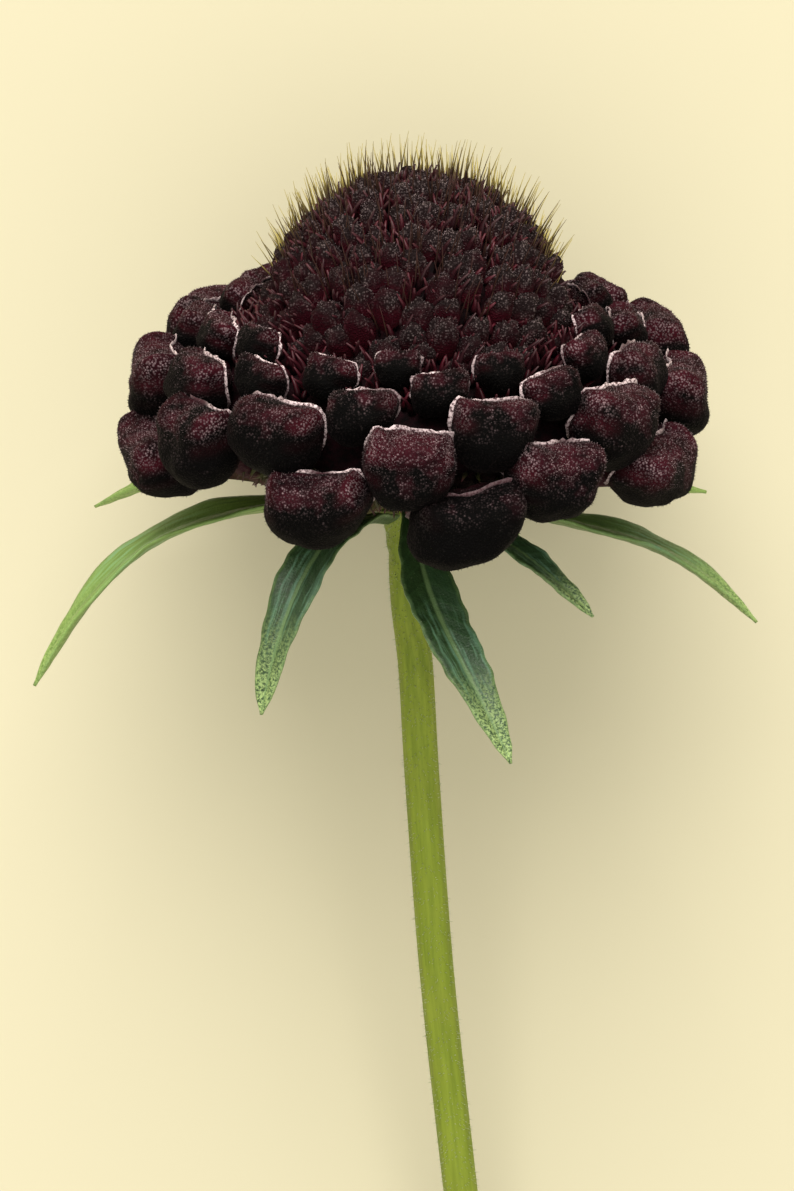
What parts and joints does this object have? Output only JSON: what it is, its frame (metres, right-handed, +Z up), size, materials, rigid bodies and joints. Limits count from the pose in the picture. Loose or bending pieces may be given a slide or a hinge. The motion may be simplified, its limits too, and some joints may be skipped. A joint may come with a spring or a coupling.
{
  "type": "pincushion flower",
  "caption": "Cut pincushion flower in bud, lying down: a domed dark maroon head of blocky buds, small knobs and bristles over narrow green bracts, on a thin curved green stalk.",
  "frame": {"origin": "middle of the flower's footprint, on the surface that it lies on", "axes": "+Z up from the surface, +Y along the stalk from its cut end toward the head, +X to the right as the picture shows the flower; the picture's front is up"},
  "size_m": [0.037, 0.0746, 0.0289],
  "materials": {
    "floret_dark": "matte",
    "bract_green": "satin",
    "stem_green": "satin"
  },
  "bodies": {
    "root": {"flower_head": "floret_dark", "stem": "stem_green", "bract_1": "bract_green", "bract_2": "bract_green", "bract_3": "bract_green", "bract_4": "bract_green", "bract_5": "bract_green", "bract_6": "bract_green", "bract_7": "bract_green", "bract_8": "bract_green", "bract_9": "bract_green"}
  },
  "joints": []
}
